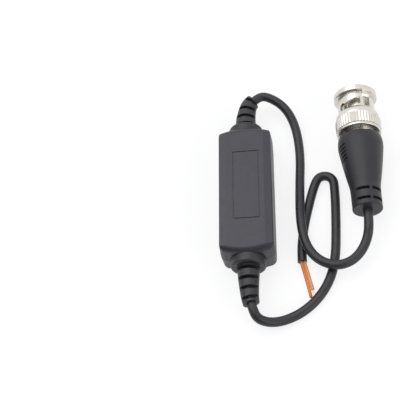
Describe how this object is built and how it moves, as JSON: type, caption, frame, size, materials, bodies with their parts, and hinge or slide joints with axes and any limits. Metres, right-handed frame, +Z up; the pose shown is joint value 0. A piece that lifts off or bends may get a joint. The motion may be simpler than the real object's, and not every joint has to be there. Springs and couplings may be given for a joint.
{
  "type": "cctv video balun",
  "caption": "Moulded in-line video balun with a coax lead to a bayonet plug and a short twisted-pair lead with stripped wires.",
  "frame": {"origin": "centre of the housing's base", "axes": "+Y along the housing towards the coax gland, +X towards the plug, +Z up out of the engraved top"},
  "size_m": [0.0532, 0.0847, 0.0148],
  "materials": {
    "housing": "fine-textured satin moulding, charcoal",
    "gland": "flexible satin moulding, charcoal",
    "cable": "smooth satin jacket, charcoal",
    "wire_orange": "smooth insulation, orange",
    "wire_pale": "smooth insulation, pale orange",
    "tinned": "tinned copper strands",
    "nickel": "bright nickel plate over brass",
    "contact": "gold flash over brass",
    "spring_steel": "sprung steel",
    "ferrule_brass": "plain brass tube",
    "insulator": "white low-loss plastic",
    "gasket": "soft silicone ring, pale grey",
    "boot": "satin moulding, charcoal",
    "laminate": "glass-epoxy board, green",
    "solder": "bright solder",
    "ferrite": "sintered, dark grey",
    "enamel_wire": "enamelled copper",
    "ceramic": "glazed ceramic, off-white",
    "resistor": "lacquered body, tan",
    "capacitor": "boxed film, dark red",
    "copper": "bare copper"
  },
  "bodies": {
    "balun": {"housing_lower": "housing", "housing_upper": "housing", "coax_gland": "gland", "pair_gland": "gland", "circuit_board": "laminate", "solder_joints": "solder", "ferrite_core": "ferrite", "core_winding": "enamel_wire", "surge_arrester": "ceramic", "resistors": "resistor", "film_capacitor": "capacitor", "coax_tail": "cable", "coax_screen": "copper", "pair_tail": "cable", "pair_inner_wires": "wire_orange", "coax_lead": "cable", "pair_lead": "cable", "wire_long": "wire_orange", "wire_short": "wire_pale", "bare_strand": "tinned", "plug_body": "nickel", "insulator": "insulator", "centre_pin": "contact", "face_gasket": "gasket", "retaining_ring": "spring_steel", "spring_washer": "spring_steel", "crimp_ferrule": "ferrule_brass", "coax_end": "cable", "plug_boot": "boot"},
    "nut_carrier": {"thrust_washer": "nickel"},
    "nut": {"coupling_nut": "nickel"}
  },
  "joints": [
    {"name": "nut_float", "type": "slide", "parent": "balun", "child": "nut_carrier", "axis": [-0.0262, 0.9996, 0.0122], "range_m": [0, 0.0008], "stiffness_N_per_m": 6000, "springref_m": -0.0004, "deforming": ["spring_washer"]},
    {"name": "nut_turn", "type": "hinge", "parent": "nut_carrier", "child": "nut", "pos_m": [0.03686, 0.0273, 0.00746], "axis": [-0.0262, 0.9996, 0.0122], "continuous": true}
  ]
}
